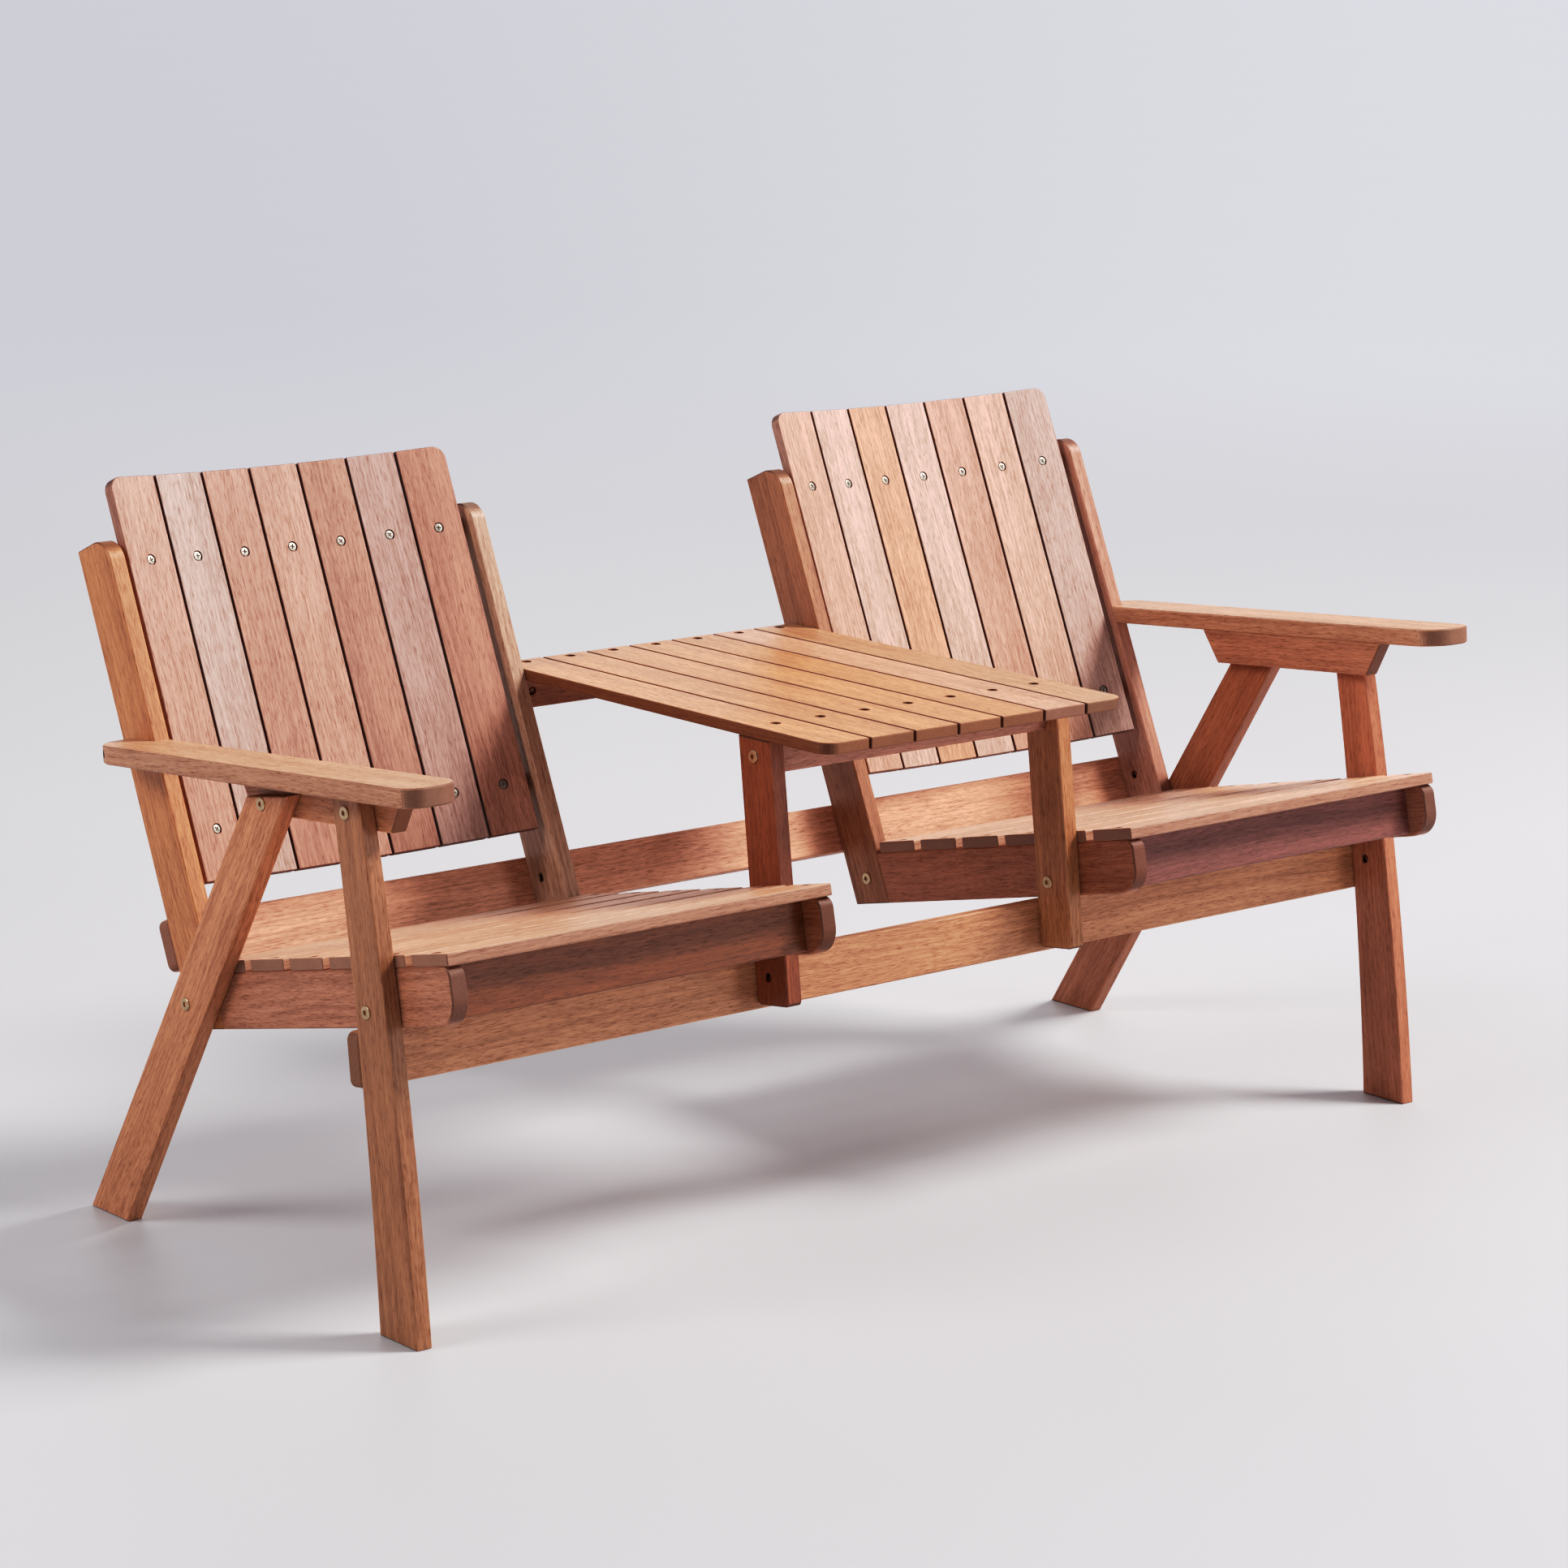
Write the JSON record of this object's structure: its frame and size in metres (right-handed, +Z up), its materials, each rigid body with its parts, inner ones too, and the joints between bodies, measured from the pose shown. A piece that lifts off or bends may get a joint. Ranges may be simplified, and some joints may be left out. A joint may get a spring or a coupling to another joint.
{
  "type": "companion seat bench",
  "caption": "Two slatted wooden garden chairs with scooped backs, joined side by side by a slatted table between them and long rails beneath.",
  "frame": {"origin": "on the floor, at the middle of the bench's width and depth", "axes": "+Z up, +X to the viewer's right when facing the bench's front, and the sitters face -Y"},
  "size_m": [1.532, 0.6905, 0.8003],
  "materials": {
    "oiled_hardwood": "oiled, open-grained, satin",
    "zinc_steel": "yellow zinc plated"
  },
  "bodies": {
    "root": {"arm_screws": "zinc_steel", "back_screws": "zinc_steel", "cap_nuts": "zinc_steel", "cross_dowels": "zinc_steel", "front_rail": "oiled_hardwood", "lap_bolts": "zinc_steel", "left_apron": "oiled_hardwood", "left_arm": "oiled_hardwood", "left_back_slat_1": "oiled_hardwood", "left_back_slat_2": "oiled_hardwood", "left_back_slat_3": "oiled_hardwood", "left_back_slat_4": "oiled_hardwood", "left_back_slat_5": "oiled_hardwood", "left_back_slat_6": "oiled_hardwood", "left_back_slat_7": "oiled_hardwood", "left_cleat": "oiled_hardwood", "left_front_leg": "oiled_hardwood", "left_inner_post": "oiled_hardwood", "left_inner_side_rail": "oiled_hardwood", "left_lower_batten": "oiled_hardwood", "left_outer_post": "oiled_hardwood", "left_outer_side_rail": "oiled_hardwood", "left_rear_leg": "oiled_hardwood", "left_seat_slats": "oiled_hardwood", "left_table_post": "oiled_hardwood", "left_upper_batten": "oiled_hardwood", "long_bolts": "zinc_steel", "rear_rail": "oiled_hardwood", "right_apron": "oiled_hardwood", "right_arm": "oiled_hardwood", "right_back_slat_1": "oiled_hardwood", "right_back_slat_2": "oiled_hardwood", "right_back_slat_3": "oiled_hardwood", "right_back_slat_4": "oiled_hardwood", "right_back_slat_5": "oiled_hardwood", "right_back_slat_6": "oiled_hardwood", "right_back_slat_7": "oiled_hardwood", "right_cleat": "oiled_hardwood", "right_front_leg": "oiled_hardwood", "right_inner_post": "oiled_hardwood", "right_inner_side_rail": "oiled_hardwood", "right_lower_batten": "oiled_hardwood", "right_outer_post": "oiled_hardwood", "right_outer_side_rail": "oiled_hardwood", "right_rear_leg": "oiled_hardwood", "right_seat_slats": "oiled_hardwood", "right_table_post": "oiled_hardwood", "right_upper_batten": "oiled_hardwood", "seat_screws": "zinc_steel", "side_bolts": "zinc_steel", "table_front_cross_rail": "oiled_hardwood", "table_rear_cross_rail": "oiled_hardwood", "table_screws": "zinc_steel", "table_slat_1": "oiled_hardwood", "table_slat_2": "oiled_hardwood", "table_slat_3": "oiled_hardwood", "table_slat_4": "oiled_hardwood", "table_slat_5": "oiled_hardwood", "table_slat_6": "oiled_hardwood", "table_slat_7": "oiled_hardwood"}
  },
  "joints": []
}
